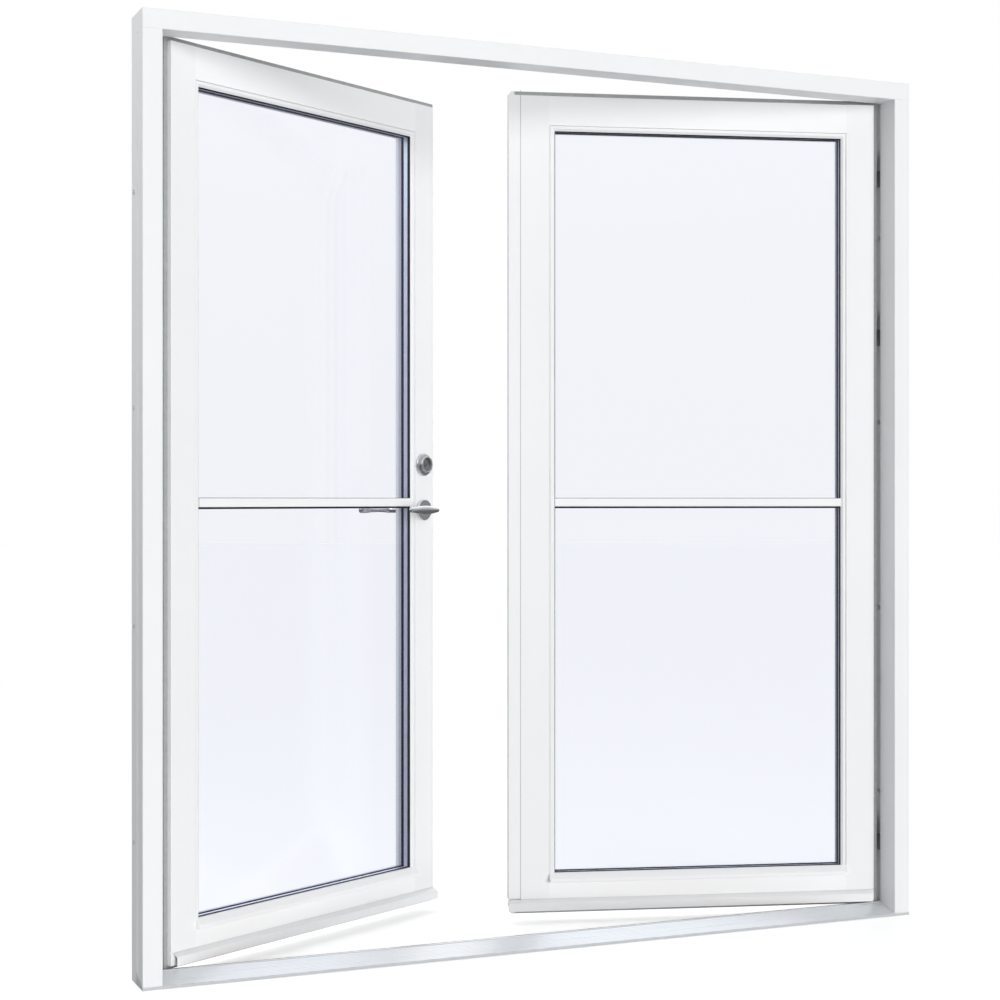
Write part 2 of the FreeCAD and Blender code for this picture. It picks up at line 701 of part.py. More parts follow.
def glazing_beads(leaf, label):
    """Top and side beads, nailed into the rebate; their bevelled corners leave a fine groove."""
    top_profile = [
        ("0", "bead_bevel"), ("bead_bevel", "0"), ("bead_thick", "0"), ("bead_thick", "bead_width"),
        ("bead_bevel", "bead_width"), ("0", "bead_width - bead_bevel"),
    ]
    top = prism(label + "_top", "YZ_Plane", top_profile, OPEN)
    start = f"{FACE} + stile_face"
    top.Placement = Placement(Vector(value(across(leaf, start, OPEN)), value(leaf_y("0")),
                                     value(f"{REBATE_TOP} - bead_width")), Rotation())
    side_profile = [
        ("bead_bevel", "0"), ("bead_width - bead_bevel", "0"), ("bead_width", "bead_bevel"),
        ("bead_width", "bead_thick"), ("0", "bead_thick"), ("0", "bead_bevel"),
    ]
    tall = f"{REBATE_TOP} - {REBATE_FOOT} - 2 * bead_width"
    pieces = [top]
    for end, distance in (("_start", start), ("_end", f"{start} + {OPEN} - bead_width")):
        side = prism(label + end, "XY_Plane", side_profile, tall)
        side.Placement = Placement(Vector(value(across(leaf, distance, "bead_width")),
                                          value(leaf_y("0")),
                                          value(f"{REBATE_FOOT} + bead_width")), Rotation())
        pieces.append(side)
    keep(label, group(pieces), leaf)


def sill_bead(leaf, label):
    """Lower bead: sheds water over its rounded nose."""
    back = "(sill_reach + bead_thick)"
    top = "(sill_nose + bead_width)"
    profile = [
        ("0", "0"), ("sill_reach", "0"), ("sill_reach", "sill_nose"), (back, "sill_nose"),
        (back, top), ("sill_reach", top), ("0", "sill_nose"),
    ]
    bead = prism(label, "YZ_Plane", profile, OPEN)
    ease(bead, "YZ_Plane", [("0", "0"), ("0", "sill_nose")])
    place = (across(leaf, f"{FACE} + stile_face", OPEN), leaf_y("0 - sill_reach"),
             f"{REBATE_FOOT} - sill_nose")
    keep(label, bead, leaf, place)


def pane_box(leaf, depth, deep):
    start = f"{FACE} + stile_face + pane_margin"
    return leaf_block(leaf, start, depth, f"{REBATE_FOOT} + pane_margin",
                      f"{OPEN} - 2 * pane_margin", deep,
                      f"{REBATE_TOP} - {REBATE_FOOT} - 2 * pane_margin")


def glass(leaf, prefix):
    keep(prefix + "_glass_outer", pane_box(leaf, "glass_setback", "pane_thick"), leaf)
    inner = "glass_setback + pane_thick + pane_space"
    keep(prefix + "_glass_inner", pane_box(leaf, inner, "pane_thick"), leaf)
    margin = "(pane_margin + spacer_margin)"
    spacer = ring(leaf, f"{FACE} + stile_face + {margin}", "glass_setback + pane_thick",
                  f"{REBATE_FOOT} + {margin}", f"{OPEN} - 2 * {margin}", "pane_space",
                  f"{REBATE_TOP} - {REBATE_FOOT} - 2 * {margin}", f"(bead_width - {margin})")
    keep(prefix + "_glass_spacer", spacer, leaf)


def gaskets(leaf, label):
    """Rubber on both faces of the sealed unit, and under the bars laid on it."""
    pieces = []
    seat_start = f"{FACE} + stile_face + bead_width + gasket_show"
    for depth, deep in (("bead_thick", "glass_setback - bead_thick"),
                        (GLASS_BACK, f"lip_depth - {GLASS_BACK}")):
        pieces.append(ring(leaf, f"{FACE} + stile_face + pane_margin", depth,
                           f"{REBATE_FOOT} + pane_margin", f"{OPEN} - 2 * pane_margin", deep,
                           f"{REBATE_TOP} - {REBATE_FOOT} - 2 * pane_margin",
                           "(bead_width - pane_margin + gasket_show)"))
    for depth in ("glass_setback - bar_seat_thick", GLASS_BACK):
        pieces.append(leaf_block(leaf, seat_start, depth, "bar_middle - bar_face / 2 - bar_seat_low",
                                 f"{SIGHT} - 2 * gasket_show", "bar_seat_thick",
                                 "bar_face + bar_seat_low + bar_seat_high"))
    keep(label, group(pieces), leaf)


def bar(leaf, label, depth, deep, bevelled):
    """Glazing bar laid on the glass, its two showing corners bevelled."""
    far = "(bar_face)"
    if bevelled == "outside":
        profile = [("0", "bead_bevel"), ("bead_bevel", "0"), (deep, "0"), (deep, far),
                   ("bead_bevel", far), ("0", f"{far} - bead_bevel")]
    else:
        profile = [("0", "0"), (f"{deep} - bead_bevel", "0"), (deep, "bead_bevel"),
                   (deep, f"{far} - bead_bevel"), (f"{deep} - bead_bevel", far), ("0", far)]
    clear = "(gasket_show + 0.1)"
    length = f"{SIGHT} - 2 * {clear}"
    piece = prism(label, "YZ_Plane", profile, length)
    place = (across(leaf, f"{FACE} + stile_face + bead_width + {clear}", length), leaf_y(depth),
             "bar_middle - bar_face / 2")
    keep(label, piece, leaf, place)


def drip_profile(leaf, label, end):
    """Folded aluminium drip, open below, hooked into the lower rail's groove."""
    inner = "(drip_reach - drip_sheet)"
    profile = [
        ("0", "0"), ("drip_sheet", "0"), ("drip_sheet", "drip_tall - drip_fall - drip_sheet"),
        (inner, "drip_tall - drip_sheet"), (inner, "drip_tall / 2"), ("drip_reach", "drip_tall / 2"),
        ("drip_reach", "drip_tall"), ("drip_reach + drip_tongue", "drip_tall"),
        ("drip_reach + drip_tongue", "drip_tall + drip_sheet"),
        ("drip_reach", "drip_tall + drip_sheet"), ("0", "drip_tall - drip_fall"),
    ]
    length = f"({end}) - {FACE} - drip_inset"
    drip = prism(label, "YZ_Plane", profile, length)
    ease(drip, "YZ_Plane", [("0", "drip_tall - drip_fall")], "drip_sheet")
    place = (across(leaf, f"{FACE} + drip_inset", length), leaf_y("0 - drip_reach"), FACE_FOOT)
    keep(label, drip, leaf, place)


def leaf_seal(leaf, label):
    """Rubber on the flange, which closes on the frame's stop."""
    start = f"{FACE} - {SEAL_WIDE}"
    foot = f"({FLANGE_FOOT} + seal_inset)"
    tall = f"{FACE_TOP} + {SEAL_WIDE} - ({foot})"
    depth = f"{FLANGE_DEPTH} - {SEAL_THICK}"
    end = f"{FREE} + {SEAL_WIDE}" if leaf == "left" else f"{FREE} + {REACH}"
    outer = leaf_block(leaf, start, depth, foot, f"{end} - ({start})", SEAL_THICK, tall)
    inner_end = FREE if leaf == "left" else f"{FREE} + {COVER_REACH}"
    inner = leaf_block(leaf, FACE, f"{depth} - 1", FACE_FOOT, f"{inner_end} - {FACE}",
                       f"{SEAL_THICK} + 2", f"{FACE_TOP} - {FACE_FOOT}")
    keep(label, cut(outer, [inner]), leaf)


def build_leaf(leaf, prefix):
    hinge_stile(leaf, prefix + "_hinge_stile")
    top_rail(leaf, prefix + "_top_rail")
    bottom_rail(leaf, prefix + "_bottom_rail")
    glazing_beads(leaf, prefix + "_glazing_beads")
    sill_bead(leaf, prefix + "_sill_bead")
    glass(leaf, prefix)
    gaskets(leaf, prefix + "_glazing_gaskets")
    bar(leaf, prefix + "_bar_outside", "bar_front", "glass_setback - bar_seat_thick - bar_front",
        "outside")
    bar(leaf, prefix + "_bar_inside", f"{GLASS_BACK} + bar_seat_thick", "bar_inner", "inside")
    end = f"{FREE} + drip_past" if leaf == "left" else f"{FREE} + {COVER_REACH}"
    drip_profile(leaf, prefix + "_drip_profile", end)
    leaf_seal(leaf, prefix + "_leaf_seal")
    keep(prefix + "_hinge_halves", group([leaf_hinge(leaf, spot) for spot in HINGES]), leaf)
    keep("frame_hinge_halves_" + leaf, group([frame_hinge(leaf, spot) for spot in HINGES]))


# The lock and its furniture, on the first leaf.

def handle_rod(z, radius, depth, long):
    return rod(across("left", SPINDLE), leaf_y(depth), z, radius, long, into_room=True)


def bolt_block(above, wide, tall, start, long, clear="0"):
    return leaf_block("left", f"{start} - ({clear})", f"lock_depth - {wide} / 2 - {clear}",
                      f"handle_height + {above} - {tall} / 2 - {clear}", f"{long} + ({clear})",
                      f"{wide} + 2 * {clear}", f"{tall} + 2 * {clear}")


LATCH_START = f"({LOCK_EDGE} + latch_out - latch_long)"
BOLT_START = f"({LOCK_EDGE} - 1 - bolt_long)"


def lock_parts():
    latch_way = bolt_block("latch_above", "latch_wide", "latch_tall", f"{LATCH_START} - latch_out - 1",
                           "latch_long + latch_out + 20", "lock_clear")
    bolt_way = bolt_block("bolt_above", "latch_wide", "bolt_tall", f"{BOLT_START} - 1",
                          "bolt_long + bolt_throw + 20", "lock_clear")
    follower = handle_rod("handle_height", "spindle_hole", "0", THICK)
    cylinder_way = handle_rod(CYLINDER, "cylinder_radius + lock_clear", "0", THICK)
    case = cut(lock_case_block("0"), [latch_way, bolt_way, follower, cylinder_way])
    keep("active_lock_case", case, "left")

    plate = leaf_block("left", f"{LOCK_EDGE} - plate_thick", "lock_depth - plate_wide / 2",
                       "handle_height - case_low + case_tall / 2 - plate_tall / 2",
                       "plate_thick", "plate_wide", "plate_tall")
    openings = [
        bolt_block("latch_above", "latch_wide", "latch_tall", f"{LATCH_START}", "latch_long + 20",
                   "lock_clear"),
        bolt_block("bolt_above", "latch_wide", "bolt_tall", BOLT_START, "bolt_long + 20",
                   "lock_clear"),
    ]
    screw_ways = [screw_hole("left", sign) for sign in "+-"]
    keep("active_lock_face_plate", cut(plate, openings + screw_ways), "left")
    screws = [screw_rod(sign, "screw_radius", "screw_long", LOCK_EDGE) for sign in "+-"]
    keep("active_lock_screws", group(screws), "left")

    keep("dead_bolt", bolt_block("bolt_above", "latch_wide", "bolt_tall", BOLT_START, "bolt_long"),
         "left")


def latch_bolt():
    """Sprung bolt, its nose sloped on the side that meets the strike first."""
    profile = [
        ("0", "0"), ("latch_long - latch_out", "0"), ("latch_long", "latch_wide - 2"),
        ("latch_long", "latch_wide"), ("0", "latch_wide"),
    ]
    latch = prism("latch_bolt", "XY_Plane", profile, "latch_tall")
    place = (across("left", LATCH_START), leaf_y("lock_depth - latch_wide / 2"),
             "handle_height + latch_above - latch_tall / 2")
    keep("latch_bolt", latch, "left", place)


def turned(label, profile):
    """A ring turned about the axis that points into the room."""
    body = doc.addObject("PartDesign::Body", label)
    sketch = outline(body, label + "_profile", "XY_Plane", [profile])
    revolution = body.newObject("PartDesign::Revolution", label + "_turned")
    revolution.Profile = sketch
    revolution.ReferenceAxis = (sketch, ["V_Axis"])
    revolution.Angle = 360
    doc.recompute()
    return body


def roses():
    """Round roses behind both levers and the cylinder's rings."""
    for name, z, bore, depth in (
            ("active_rose", "handle_height", "neck_radius + lock_clear", "rose_thick"),
            ("active_cylinder_ring", CYLINDER, "cylinder_radius + 0.5", "ring_thick")):
        front = "rose_radius" if depth == "rose_thick" else "ring_front + bead_bevel"
        back = "rose_radius" if depth == "rose_thick" else "ring_radius"
        outer = [
            (bore, "0"), (back, "0"), (front, f"bead_bevel - {depth}"),
            (f"{front} - bead_bevel", f"0 - {depth}"), (bore, f"0 - {depth}"),
        ]
        outside = turned(name + "_outside", outer)
        keep(name + "_outside", outside, "left", (across("left", SPINDLE), leaf_y("0"), z))
        inner = [
            (bore, "0"), (bore, "rose_thick"), ("rose_radius - bead_bevel", "rose_thick"),
            ("rose_radius", "rose_thick - bead_bevel"), ("rose_radius", "0"),
        ]
        inside = turned(name + "_inside", inner)
        keep(name + "_inside", inside, "left", (across("left", SPINDLE), leaf_y(THICK), z))


def cylinder():
    front = "0 - (ring_thick - ring_recess)"
    long = f"{THICK} + ring_thick - ring_recess + rose_thick - 1"
    barrel = handle_rod(CYLINDER, "cylinder_radius", front, long)
    bore = handle_rod(CYLINDER, "plug_radius + plug_clear", f"{front} - 1", f"{long} + 2")
    keep("active_lock_cylinder", cut(barrel, [bore]), "left")

    plug = handle_rod(CYLINDER, "plug_radius", f"{front} - 1", f"{THICK} + ring_thick - ring_recess")
    keyway = leaf_block("left", f"{SPINDLE} - 0.8", f"{front} - 2", f"{CYLINDER} - 4", "1.6", "22", "8")
    keep("active_key_plug", cut(plug, [keyway]), "left")

    back = f"{THICK} - 1"
    stub = handle_rod(CYLINDER, "plug_radius", back, "rose_thick + 3")
    wing = leaf_block("left", f"{SPINDLE} - turn_thick / 2", f"{back} + rose_thick + 2",
                      f"{CYLINDER} - turn_wide / 2", "turn_thick", "turn_out", "turn_wide")
    keep("active_thumb_turn", fuse([stub, wing]), "left")


# Levers: each grip is a loft through ellipses, given as how far along and how tall they are.

OUTSIDE_GRIP = (("0", "10"), ("lever_long * 0.12", "12"), ("lever_long * 0.3", "20"),
                ("lever_long * 0.5", "25"), ("lever_long * 0.72", "22"), ("lever_long * 0.9", "16"),
                ("lever_long", "11"))
INSIDE_GRIP = (("0", "18"), ("lever_long * 0.15", "15"), ("lever_long * 0.4", "10.5"),
               ("lever_long * 0.65", "13"), ("lever_long * 0.88", "18"), ("lever_long", "15"))


def grip(sections, depth, lift):
    rings = []
    for along, tall in sections:
        ellipse = doc.addObject("Part::Ellipse", "Section")
        ellipse.setExpression("MajorRadius", bound(f"{tall} / 2"))
        ellipse.setExpression("MinorRadius", bound("neck_radius / 2"))
        ellipse.Placement = Placement(Vector(), Rotation(Vector(0, 1, 0), 90))
        ellipse.setExpression("Placement.Base.x", bound(across("left", f"{SPINDLE} - ({along})")))
        ellipse.setExpression("Placement.Base.y", bound(leaf_y(depth)))
        ellipse.setExpression("Placement.Base.z", bound(f"handle_height + {lift}"))
        rings.append(ellipse)
    loft = doc.addObject("Part::Loft", "Grip")
    loft.Sections = rings
    loft.Solid = True
    loft.Ruled = False
    return loft


def spindle():
    """The square spindle; the same shape is cut from both levers."""
    return leaf_block("left", f"{SPINDLE} - spindle_side / 2", "0 - lever_out + 12",
                      "handle_height - spindle_side / 2", "spindle_side",
                      f"{THICK} + 2 * lever_out - 24", "spindle_side")


def levers():
    keep("active_spindle", spindle(), "left")
    neck = "lever_out + neck_radius / 2 - 0.3"
    outside = fuse([handle_rod("handle_height", "neck_radius", "0 - lever_out - neck_radius / 2", neck),
                    grip(OUTSIDE_GRIP, "0 - lever_out", "1")])
    keep("active_lever_outside", cut(outside, [spindle()]), "left")
    inside = fuse([handle_rod("handle_height", "neck_radius", f"{THICK} + 0.3", neck),
                   grip(INSIDE_GRIP, f"{THICK} + lever_out", "0")])
    keep("active_lever_inside", cut(inside, [spindle()]), "left")


# The strike and the flush bolts, on the second leaf.

def strike_plate():
    plate = leaf_block("right", f"{COVER_EDGE} - plate_thick", "lock_depth - plate_wide / 2",
                       f"{strike_z()} - strike_tall / 2", "plate_thick", "plate_wide", "strike_tall")
    windows = []
    for above, tall in (("latch_above", "latch_tall"), ("bolt_above", "bolt_tall")):
        windows.append(leaf_block("right", f"{COVER_EDGE} - plate_thick - 1",
                                  "lock_depth - latch_wide / 2 - 1",
                                  f"handle_height + {above} - {tall} / 2 - 1",
                                  "plate_thick + 2", "latch_wide + 2", f"{tall} + 2"))
    keep("passive_strike_plate", cut(plate, windows), "right")


def flush_bolt(label, z, thumb_z):
    bolt = rod(across("right", FLUSH), leaf_y("lock_depth"), z, "flush_radius", "flush_long")
    thumb = leaf_block("right", FLUSH, "lock_depth - flush_radius", thumb_z, "flush_inset - 0.5",
                       "2 * flush_radius", "flush_thumb")
    keep(label, fuse([bolt, thumb]), "right")


frame_head()
frame_jamb("left")
frame_jamb("right")
threshold_ramp()
threshold_core()
bolt_keep("frame_keep_top", "frame_height - frame_cheek - keep_thick")
bolt_keep("frame_keep_bottom", "core_height")
build_leaf("left", "active")
build_leaf("right", "passive")
lock_stile()
cover_stile()
cover_strip()
lock_parts()
latch_bolt()
roses()
cylinder()
levers()
strike_plate()
flush_bolt("flush_bolt_top", f"{FLANGE_TOP} - flush_long", THUMB_Z["top"])
flush_bolt("flush_bolt_bottom", FLANGE_FOOT, THUMB_Z["foot"])
doc.recompute()

for thing in doc.Objects:
    if {"Invalid", "Error"} & set(thing.State):
        raise ValueError(f"{thing.Label} failed to compute")
for node in nodes:
    if node.Shape.isNull() or not node.Shape.isValid():
        raise ValueError(f"{node.Label} has no valid shape")

os.makedirs("parts", exist_ok=True)
for node in nodes:
    node.Shape.exportStep(f"parts/{node.Label}.step")
print(len(nodes), "sub-parts")
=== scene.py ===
import math

import bmesh
import bpy
from mathutils import Matrix, Vector


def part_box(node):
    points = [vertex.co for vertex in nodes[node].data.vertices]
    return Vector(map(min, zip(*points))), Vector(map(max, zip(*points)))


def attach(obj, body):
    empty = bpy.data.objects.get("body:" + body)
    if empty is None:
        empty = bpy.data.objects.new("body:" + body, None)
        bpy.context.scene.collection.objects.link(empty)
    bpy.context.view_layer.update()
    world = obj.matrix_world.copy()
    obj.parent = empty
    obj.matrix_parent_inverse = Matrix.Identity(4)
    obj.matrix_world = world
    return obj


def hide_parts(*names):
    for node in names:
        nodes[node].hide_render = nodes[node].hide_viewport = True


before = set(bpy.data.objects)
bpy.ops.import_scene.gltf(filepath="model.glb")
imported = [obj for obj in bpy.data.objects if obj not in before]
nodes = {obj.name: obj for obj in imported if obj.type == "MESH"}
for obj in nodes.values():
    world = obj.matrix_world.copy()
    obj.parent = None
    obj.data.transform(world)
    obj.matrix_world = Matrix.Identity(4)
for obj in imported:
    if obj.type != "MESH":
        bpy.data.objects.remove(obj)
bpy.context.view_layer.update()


# The studio: a pale floor and a white surround that lights the object softly from all sides.
# A broad low lamp stands in front of the frame, a weaker one in the room behind it, and a small
# one up on the left.

bpy.context.scene.view_settings.view_transform = "Standard"
SOFT_LIGHT = 0.27                # what the surround gives to dull surfaces
MIRRORED = (0.36, 1.05)          # what gloss and metal see in it, at eye level and overhead
CLIMB_START, CLIMB_END = 0.02, 0.45      # upward part of the direction where that change happens
FLOOR_GLOW, FLOOR_IN_GLOSS = 0.53, 0.16

world = bpy.data.worlds.new("surround")
bpy.context.scene.world = world
world.use_nodes = True
sky = world.node_tree
ray = sky.nodes.new("ShaderNodeLightPath")
facing = sky.nodes.new("ShaderNodeTexCoord")
split = sky.nodes.new("ShaderNodeSeparateXYZ")
sky.links.new(facing.outputs["Generated"], split.inputs["Vector"])
climb = sky.nodes.new("ShaderNodeMapRange")
climb.interpolation_type = "SMOOTHSTEP"
climb.inputs["From Min"].default_value = CLIMB_START
climb.inputs["From Max"].default_value = CLIMB_END
climb.inputs["To Min"].default_value, climb.inputs["To Max"].default_value = MIRRORED
sky.links.new(split.outputs["Z"], climb.inputs["Value"])


def surround(strength, colour):
    shade = sky.nodes.new("ShaderNodeBackground")
    shade.inputs["Color"].default_value = (*colour, 1.0)
    shade.inputs["Strength"].default_value = strength
    return shade


def either(test, otherwise, chosen):
    mix = sky.nodes.new("ShaderNodeMixShader")
    sky.links.new(ray.outputs[test], mix.inputs["Fac"])
    sky.links.new(otherwise.outputs[0], mix.inputs[1])
    sky.links.new(chosen.outputs[0], mix.inputs[2])
    return mix


lit = surround(SOFT_LIGHT, (0.985, 0.992, 1.0))
mirrored = surround(1.0, (0.98, 0.99, 1.0))
sky.links.new(climb.outputs["Result"], mirrored.inputs["Strength"])
looked_at = surround(1.0, (1.0, 1.0, 1.0))
whole = either("Is Camera Ray", either("Is Glossy Ray", lit, mirrored), looked_at)
sky.links.new(whole.outputs["Shader"], sky.nodes["World Output"].inputs["Surface"])


def sun_lamp(name, heading, height, strength, spread, mirrored_in_metal):
    """A soft, even lamp. heading is where it stands, in degrees anticlockwise from +X."""
    lamp = bpy.data.lights.new(name, "SUN")
    lamp.energy = strength
    lamp.angle = math.radians(spread)
    holder = bpy.data.objects.new(name, lamp)
    turn, lift = math.radians(heading), math.radians(height)
    place = Vector((math.cos(turn) * math.cos(lift), math.sin(turn) * math.cos(lift),
                    math.sin(lift)))
    holder.rotation_euler = place.to_track_quat("Z", "Y").to_euler()
    holder.visible_glossy = mirrored_in_metal
    bpy.context.scene.collection.objects.link(holder)


sun_lamp("front_lamp", -80.0, 4.0, 2.05, 40.0, False)
sun_lamp("room_lamp", 66.0, 38.0, 1.0, 60.0, True)

side_light = bpy.data.lights.new("side_lamp", "AREA")
side_light.size = 1.6
side_light.energy = 30.0
side_lamp = bpy.data.objects.new("side_lamp", side_light)
side_lamp.location = (-3.4, 0.15, 3.1)
side_lamp.rotation_euler = Vector((-2.4, 0.1, 1.6)).to_track_quat("Z", "Y").to_euler()
bpy.context.scene.collection.objects.link(side_lamp)

floor_mesh = bmesh.new()
bmesh.ops.create_grid(floor_mesh, x_segments=1, y_segments=1, size=40.0)
floor_data = bpy.data.meshes.new("floor")
floor_mesh.to_mesh(floor_data)
floor_mesh.free()
floor = bpy.data.objects.new("floor", floor_data)
floor.location.z = -0.0005
floor.visible_shadow = False     # so that all of the low front lamp reaches the object
bpy.context.scene.collection.objects.link(floor)
floor_paint = bpy.data.materials.new("pale_floor")
floor_paint.use_nodes = True
tree = floor_paint.node_tree
dull = tree.nodes["Principled BSDF"]
dull.inputs["Base Color"].default_value = (0.88, 0.88, 0.88, 1.0)
dull.inputs["Roughness"].default_value = 0.9
dull.inputs["Specular IOR Level"].default_value = 0.0
path = tree.nodes.new("ShaderNodeLightPath")
glow = tree.nodes.new("ShaderNodeEmission")
glow.inputs["Strength"].default_value = FLOOR_GLOW
dim = tree.nodes.new("ShaderNodeEmission")
dim.inputs["Strength"].default_value = FLOOR_IN_GLOSS
together = tree.nodes.new("ShaderNodeAddShader")
tree.links.new(dull.outputs["BSDF"], together.inputs[0])
tree.links.new(glow.outputs["Emission"], together.inputs[1])
in_metal = tree.nodes.new("ShaderNodeMixShader")
tree.links.new(path.outputs["Is Glossy Ray"], in_metal.inputs["Fac"])
tree.links.new(dull.outputs["BSDF"], in_metal.inputs[1])
tree.links.new(dim.outputs["Emission"], in_metal.inputs[2])
choice = tree.nodes.new("ShaderNodeMixShader")
tree.links.new(path.outputs["Is Camera Ray"], choice.inputs["Fac"])
tree.links.new(in_metal.outputs["Shader"], choice.inputs[1])
tree.links.new(together.outputs["Shader"], choice.inputs[2])
tree.links.new(choice.outputs["Shader"], tree.nodes["Material Output"].inputs["Surface"])
floor_data.materials.append(floor_paint)

camera_data = bpy.data.cameras.new("camera")
camera_data.lens = 69.64
camera_data.sensor_width = 36.0
camera = bpy.data.objects.new("camera", camera_data)
camera.location = (-1.8689, -4.1095, 1.0378)
camera.rotation_euler = (math.radians(90.0), 0.0, math.radians(-23.01))
bpy.context.scene.collection.objects.link(camera)
bpy.context.scene.camera = camera


# Frame: head and jambs of planed pine, factory sprayed with white water-based paint, semi-gloss.
# The grain raises the paint very slightly along each piece.

def new_material(name, **sockets):
    """A material with its Principled shader's sockets set, and the links it will need."""
    material = bpy.data.materials.new(name)
    material.use_nodes = True
    shader = material.node_tree.nodes["Principled BSDF"]
    for socket, number in sockets.items():
        shader.inputs[socket.replace("_", " ")].default_value = number
    return material, material.node_tree, shader


def noise(tree, size, stretch=(1.0, 1.0, 1.0), detail=4.0, roughness=0.55, turn=0.0):
    """Noise on the piece's own coordinates. size is about one lump, in metres, and turn is how
    far its axes are turned about the vertical, in degrees."""
    place = tree.nodes.new("ShaderNodeTexCoord")
    mapping = tree.nodes.new("ShaderNodeMapping")
    mapping.vector_type = "TEXTURE"
    mapping.inputs["Rotation"].default_value = (0.0, 0.0, math.radians(turn))
    mapping.inputs["Scale"].default_value = [size * along for along in stretch]
    texture = tree.nodes.new("ShaderNodeTexNoise")
    texture.inputs["Scale"].default_value = 1.0
    texture.inputs["Detail"].default_value = detail
    texture.inputs["Roughness"].default_value = roughness
    tree.links.new(place.outputs["Object"], mapping.inputs["Vector"])
    tree.links.new(mapping.outputs["Vector"], texture.inputs["Vector"])
    return texture.outputs["Fac"]


def ranged(tree, source, low, high):
    spread = tree.nodes.new("ShaderNodeMapRange")
    spread.inputs["From Min"].default_value = 0.3
    spread.inputs["From Max"].default_value = 0.7
    spread.inputs["To Min"].default_value = low
    spread.inputs["To Max"].default_value = high
    tree.links.new(source, spread.inputs["Value"])
    return spread.outputs["Result"]


def tinted(tree, source, low, high):
    ramp = tree.nodes.new("ShaderNodeValToRGB")
    ramp.color_ramp.elements[0].position = 0.3
    ramp.color_ramp.elements[1].position = 0.7
    ramp.color_ramp.elements[0].color = (*low, 1.0)
    ramp.color_ramp.elements[1].color = (*high, 1.0)
    tree.links.new(source, ramp.inputs["Fac"])
    return ramp.outputs["Color"]


def raised(tree, shader, source, height, below=None):
    """Bump from a pattern, height in metres from its lowest to its highest."""
    bump = tree.nodes.new("ShaderNodeBump")
    bump.inputs["Strength"].default_value = 1.0
    bump.inputs["Distance"].default_value = height
    tree.links.new(source, bump.inputs["Height"])
    if below is not None:
        tree.links.new(below, bump.inputs["Normal"])
    tree.links.new(bump.outputs["Normal"], shader.inputs["Normal"])
    return bump.outputs["Normal"]


def white_paint(name, along, low, high, turn=0.0):
    """Sprayed paint over planed pine whose grain runs along one axis."""
    stretch = [14.0 if axis == along else 1.0 for axis in "xyz"]
    material, tree, shader = new_material(name, Roughness=0.36, IOR=1.45)
    tree.links.new(tinted(tree, noise(tree, 0.35), low, high), shader.inputs["Base Color"])
    tree.links.new(ranged(tree, noise(tree, 0.02, stretch, turn=turn), 0.32, 0.42),
                   shader.inputs["Roughness"])
    grain = raised(tree, shader, noise(tree, 0.0022, stretch, 3.0, turn=turn), 0.00004)
    raised(tree, shader, noise(tree, 0.0009, detail=2.0), 0.000012, grain)
    return material


def paint(names, material):
    for name in names:
        for holder in nodes[name].material_slots:
            holder.material = material


FRAME_WHITE = ((0.88, 0.892, 0.90), (0.90, 0.912, 0.92))
paint(["frame_jamb_left", "frame_jamb_right"],
      white_paint("frame_white_upright", "z", *FRAME_WHITE))
paint(["frame_head"], white_paint("frame_white_level", "x", *FRAME_WHITE))


# Threshold: extruded aluminium slope with fine ribs, clear anodised, on a strip of oiled hardwood.
# The rolls leave fine lines along its length.

ramp_metal, tree, shader = new_material("threshold_aluminium", Metallic=0.35, Roughness=0.34)
lines = noise(tree, 0.0008, (260.0, 1.0, 1.0), 3.0)
tree.links.new(tinted(tree, lines, (0.75, 0.775, 0.80), (0.83, 0.85, 0.87)),
               shader.inputs["Base Color"])
tree.links.new(ranged(tree, lines, 0.26, 0.42), shader.inputs["Roughness"])
raised(tree, shader, lines, 0.00002)
paint(["threshold_ramp"], ramp_metal)

hardwood, tree, shader = new_material("threshold_hardwood", Roughness=0.5)
fibre = noise(tree, 0.004, (30.0, 1.0, 1.0), 6.0, 0.65)
tree.links.new(tinted(tree, fibre, (0.16, 0.09, 0.045), (0.34, 0.21, 0.11)),
               shader.inputs["Base Color"])
raised(tree, shader, fibre, 0.0002)
paint(["threshold_core"], hardwood)


# Leaves: pine stiles, rails and bars, jointed at the corners and sprayed in the same white paint.
# The grain runs along each piece, so level pieces have a material turned with their leaf.

LEAF_WHITE = ((0.90, 0.905, 0.91), (0.92, 0.925, 0.93))
# Painted light: the rails, sill beads and bars get a lighter copy of the leaf white than the stiles,
# standing in for the light the level pieces catch.
LIT_RAIL_WHITE = ((0.935, 0.94, 0.945), (0.955, 0.96, 0.965))
LEAVES = {"active": 30.0, "passive": -15.0}      # how far each stands open, in degrees
leaf_upright = white_paint("leaf_white_upright", "z", *LEAF_WHITE)
paint(["active_hinge_stile", "active_lock_stile", "passive_hinge_stile", "passive_cover_stile",
       "passive_cover_strip", "active_glazing_beads", "passive_glazing_beads"], leaf_upright)
for side, turn in LEAVES.items():
    paint([side + "_top_rail", side + "_bottom_rail", side + "_sill_bead", side + "_bar_outside",
           side + "_bar_inside"], white_paint(side + "_white_level", "x", *LIT_RAIL_WHITE, turn))


# Glazing beads: pine strips mitred round the top and sides of each unit. A fine groove parts
# them from the stile, and their inner edge slopes back to the glass.

BEAD_OUTLINE = ((0.0, 0.0055), (0.0, 0.0036), (0.0021, 0.0), (0.0076, 0.0), (0.0086, 0.0003),
                (0.0131, 0.0043), (0.0135, 0.0055))       # in from the stile, back from its face


def leaf_axes(side):
    """Directions along a leaf, away from its hinges towards +X, and through it to the room."""
    turn = math.radians(LEAVES[side])
    return (Vector((math.cos(turn), math.sin(turn), 0.0)),
            Vector((-math.sin(turn), math.cos(turn), 0.0)))


def span(side, node, axis):
    """Lowest and highest place of a node along an axis, at rest."""
    place = [corner.co.dot(axis) for corner in nodes[node].data.vertices]
    return min(place), max(place)


